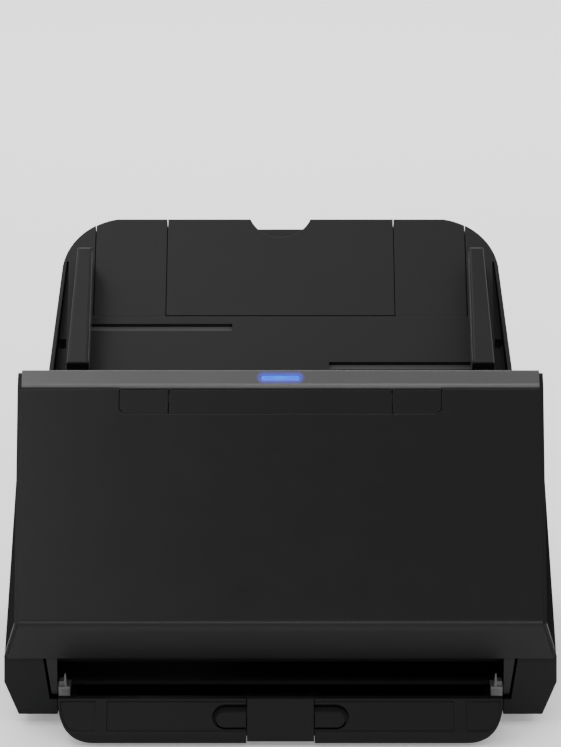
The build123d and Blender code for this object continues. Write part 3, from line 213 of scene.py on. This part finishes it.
LOOKS = {
    FRONT: ["front_cover", "opening_lever", "left_key", "right_key"],
    LIP_PAINTED_LIGHT: ["top_bezel"],
    SHELL: ["left_side_cover", "right_side_cover", "rear_cover"],
    TRAY: ["feed_tray", "tray_extension", "tray_tip", "left_document_guide", "right_document_guide"],
    DRAWER_SHADED: ["output_drawer", "output_slide", "paper_stop"],
    BLACK: ["base_pan", "rear_guide", "front_guide", "rear_image_sensor", "front_image_sensor",
            "power_jack", "usb_port"],
    GREY: ["left_hinge_bracket", "right_hinge_bracket", "key_frame", "guide_pinion", "motor_pulley",
           "left_guide_rack", "right_guide_rack"],
    RUBBER: ["rubber_feet", "feed_tyres", "drive_tyres", "eject_tyres", "retard_tyres",
             "drive_pinch_tyres", "eject_pinch_tyres", "timing_belt"],
    STEEL: ["left_frame_plate", "right_frame_plate", "feed_shaft", "drive_shaft", "eject_shaft",
            "retard_shaft", "drive_pinch_shaft", "eject_pinch_shaft"],
    MOTOR: ["drive_motor"],
    BOARD: ["main_board"],
    LAMP: ["lamp_lens"],
    GLASS: ["rear_sensor_glass", "front_sensor_glass"],
}


def dress(obj, material):
    if not obj.material_slots:
        obj.data.materials.append(material)
    for place in obj.material_slots:
        place.material = material


for look, names in LOOKS.items():
    for node_name in names:
        dress(NODES[node_name], look)


# Pieces that the plain solids lack

def stadium(half_x, half_u, steps=12):
    """Outline of an oblong with round ends, in x and u, round its middle."""
    flat = half_x - half_u
    turn = [pi * i / steps for i in range(steps + 1)]
    right = [(flat + half_u * sin(a), half_u * cos(a)) for a in turn]
    left = [(-flat - half_u * sin(a), -half_u * cos(a)) for a in turn]
    return right + left


def build(name, rings, point, material, body, close_first=True, close_last=True):
    """Skins closed rings of 3-D tuples, turned into row-frame points by point, into one smooth piece."""
    mesh = bpy.data.meshes.new(name)
    shape = bmesh.new()
    loops = [[shape.verts.new(point(*p)) for p in ring] for ring in rings]
    for first, second in zip(loops, loops[1:]):
        for i in range(len(first)):
            j = (i + 1) % len(first)
            shape.faces.new((first[i], first[j], second[j], second[i]))
    if close_first:
        shape.faces.new(reversed(loops[0]))
    if close_last:
        shape.faces.new(loops[-1])
    bmesh.ops.recalc_face_normals(shape, faces=shape.faces)
    shape.to_mesh(mesh)
    shape.free()
    piece = bpy.data.objects.new(name, mesh)
    bpy.context.collection.objects.link(piece)
    mesh.materials.append(material)
    for face in mesh.polygons:
        face.use_smooth = True
    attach(piece, body)
    return piece


def lamp_lens():
    """Domed oblong light guide set in the lip."""
    rings = []
    for half_x, half_u, n in ((10.6, 1.55, 24.1), (10.6, 1.55, 27.6), (10.4, 1.4, 27.9), (9.6, 0.9, 28.02),
                              (8.6, 0.4, 28.04)):
        rings.append([(x, u + LAMP_U, n) for x, u in stadium(half_x, half_u)])
    lens = build("lamp_lens_domed", rings, path_point, LAMP, "front_unit")
    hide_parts("lamp_lens")


def guide_painted_reflections():
    """Smooth light grey strips on the inner faces of the two paper guides, a painted reflection of the paper in their
    glossy inner walls.
    """
    for side, body in ((-1, "left_guide"), (1, "right_guide")):
        inner, outer = 105.32, 105.6
        rings = []
        for u, low, high in ((11.0, 1.6, 17.8), (12.0, 1.2, 18.6), (82.0, 1.2, 18.6), (83.2, 1.8, 17.8)):
            rings.append([(side * inner, u, low), (side * inner, u, high), (side * outer, u, high + 0.3),
                          (side * outer, u, low - 0.3)])
        build(f"{body}_painted_reflection", rings, path_point, REFLECTION_GREY, body)


def screw(name, place, facing, radius, body):
    """Pan-head screw with a cross recess."""
    facing = Vector(facing).normalized()
    side = facing.orthogonal().normalized()
    up = facing.cross(side)

    def point(a, b, h):
        return Vector(place) + (side * a + up * b + facing * h) * MM

    steps = 32
    rings = []
    for share, height in ((1.0, 0.0), (1.0, 0.5), (0.92, 0.85), (0.72, 1.05), (0.5, 1.12)):
        rings.append([(radius * share * cos(2 * pi * i / steps), radius * share * sin(2 * pi * i / steps), height)
                      for i in range(steps)])
    for share, height in ((0.5, 1.12), (0.46, 0.35), (0.1, 0.3)):
        ring = []
        for i in range(steps):
            turn = 2 * pi * i / steps
            cross = 1.0 if i % 8 in (0, 1, 7) else 0.35
            ring.append((radius * share * cross * cos(turn), radius * share * cross * sin(turn), height))
        rings.append(ring)
    return build(name, rings, point, STEEL, body)


def screws():
    spots = [(x, y) for x in (-108.0, 108.0) for y in (-40.0, 30.0, 84.0)]
    for i, (x, y) in enumerate(spots):
        screw(f"base_screw_{i}", flat_point(x, y, 3.0), (0, 0, -1), 2.9, "chassis")


lamp_lens()
guide_painted_reflections()
screws()


# Camera, floor and light

def aim(obj, target):
    obj.rotation_euler = (Vector(target) - obj.location).to_track_quat("-Z", "Y").to_euler()


def area(name, place, target, size, power, color=(1, 1, 1)):
    data = bpy.data.lights.new(name, "AREA")
    data.shape = "RECTANGLE"
    data.size, data.size_y = size
    data.energy = power
    data.color = color
    lamp = bpy.data.objects.new(name, data)
    bpy.context.collection.objects.link(lamp)
    lamp.location = place
    aim(lamp, target)
    return lamp


ELEVATION = radians(14.5)
DISTANCE = 1.8
LENS = 159.66
AIM = (0, 0, 0.168)
camera_data = bpy.data.cameras.new("camera")
camera = bpy.data.objects.new("camera", camera_data)
bpy.context.collection.objects.link(camera)
camera_data.lens = LENS
camera_data.clip_end = 20
camera.location = (0, -DISTANCE * cos(ELEVATION), AIM[2] + DISTANCE * sin(ELEVATION))
aim(camera, AIM)
bpy.context.scene.camera = camera


def stage_material(name, value):
    mat = bpy.data.materials.new(name)
    mat.use_nodes = True
    shader = mat.node_tree.nodes["Principled BSDF"]
    shader.inputs["Base Color"].default_value = (value, value, value, 1)
    shader.inputs["Roughness"].default_value = 0.9
    shader.inputs["Specular IOR Level"].default_value = 0.1
    shader.inputs["Emission Color"].default_value = (1, 1, 1, 1)
    shader.inputs["Emission Strength"].default_value = 0.25
    return mat


def sweep():
    """Pale floor that curves up into a backdrop."""
    mesh = bpy.data.meshes.new("floor")
    shape = bmesh.new()
    profile = [(-9.0, 0.0), (6.0, 0.0)]
    profile += [(6.0 + 1.5 * sin(a), 1.5 - 1.5 * cos(a)) for a in (pi / 2 * i / 12 for i in range(1, 13))]
    profile += [(7.5, 6.0)]
    rows = [[shape.verts.new((x, y, z)) for y, z in profile] for x in (-9.0, 9.0)]
    for i in range(len(profile) - 1):
        shape.faces.new((rows[0][i], rows[1][i], rows[1][i + 1], rows[0][i + 1]))
    shape.to_mesh(mesh)
    shape.free()
    floor = bpy.data.objects.new("floor", mesh)
    bpy.context.collection.objects.link(floor)
    mesh.materials.append(stage_material("pale_floor", 0.95))
    for face in mesh.polygons:
        face.use_smooth = True


sweep()
area("key", (-0.7, -0.2, 1.7), (0, 0, 0.12), (1.2, 0.5), 8)
area("side_left", (-1.6, 0.1, 0.5), (0, 0, 0.1), (0.5, 1.2), 1.2)
area("side_right", (1.6, 0.1, 0.5), (0, 0, 0.1), (0.5, 1.2), 0.8)
area("front_strip", (0, -1.55, 1.35), (0, -0.08, 0.07), (2.6, 0.15), 13)
area("back", (0, 2.0, 2.2), (0, 2.2, 0), (3.0, 1.6), 70)
world = bpy.data.worlds.new("world")
bpy.context.scene.world = world
world.use_nodes = True
sky = world.node_tree
# Bright towards the horizon and dimmer overhead, like a white cove under a dark ceiling
direction = sky.nodes.new("ShaderNodeTexCoord")
height = sky.nodes.new("ShaderNodeSeparateXYZ")
dim = sky.nodes.new("ShaderNodeMapRange")
dim.inputs["From Min"].default_value = 0.1
dim.inputs["From Max"].default_value = 0.95
dim.inputs["To Min"].default_value = 1.25
dim.inputs["To Max"].default_value = 0.6
sky.links.new(direction.outputs["Generated"], height.inputs["Vector"])
sky.links.new(height.outputs["Z"], dim.inputs["Value"])
sky.links.new(dim.outputs["Result"], sky.nodes["Background"].inputs["Strength"])
sky.nodes["Background"].inputs["Color"].default_value = (1, 1, 1, 1)

bpy.context.view_layer.update()
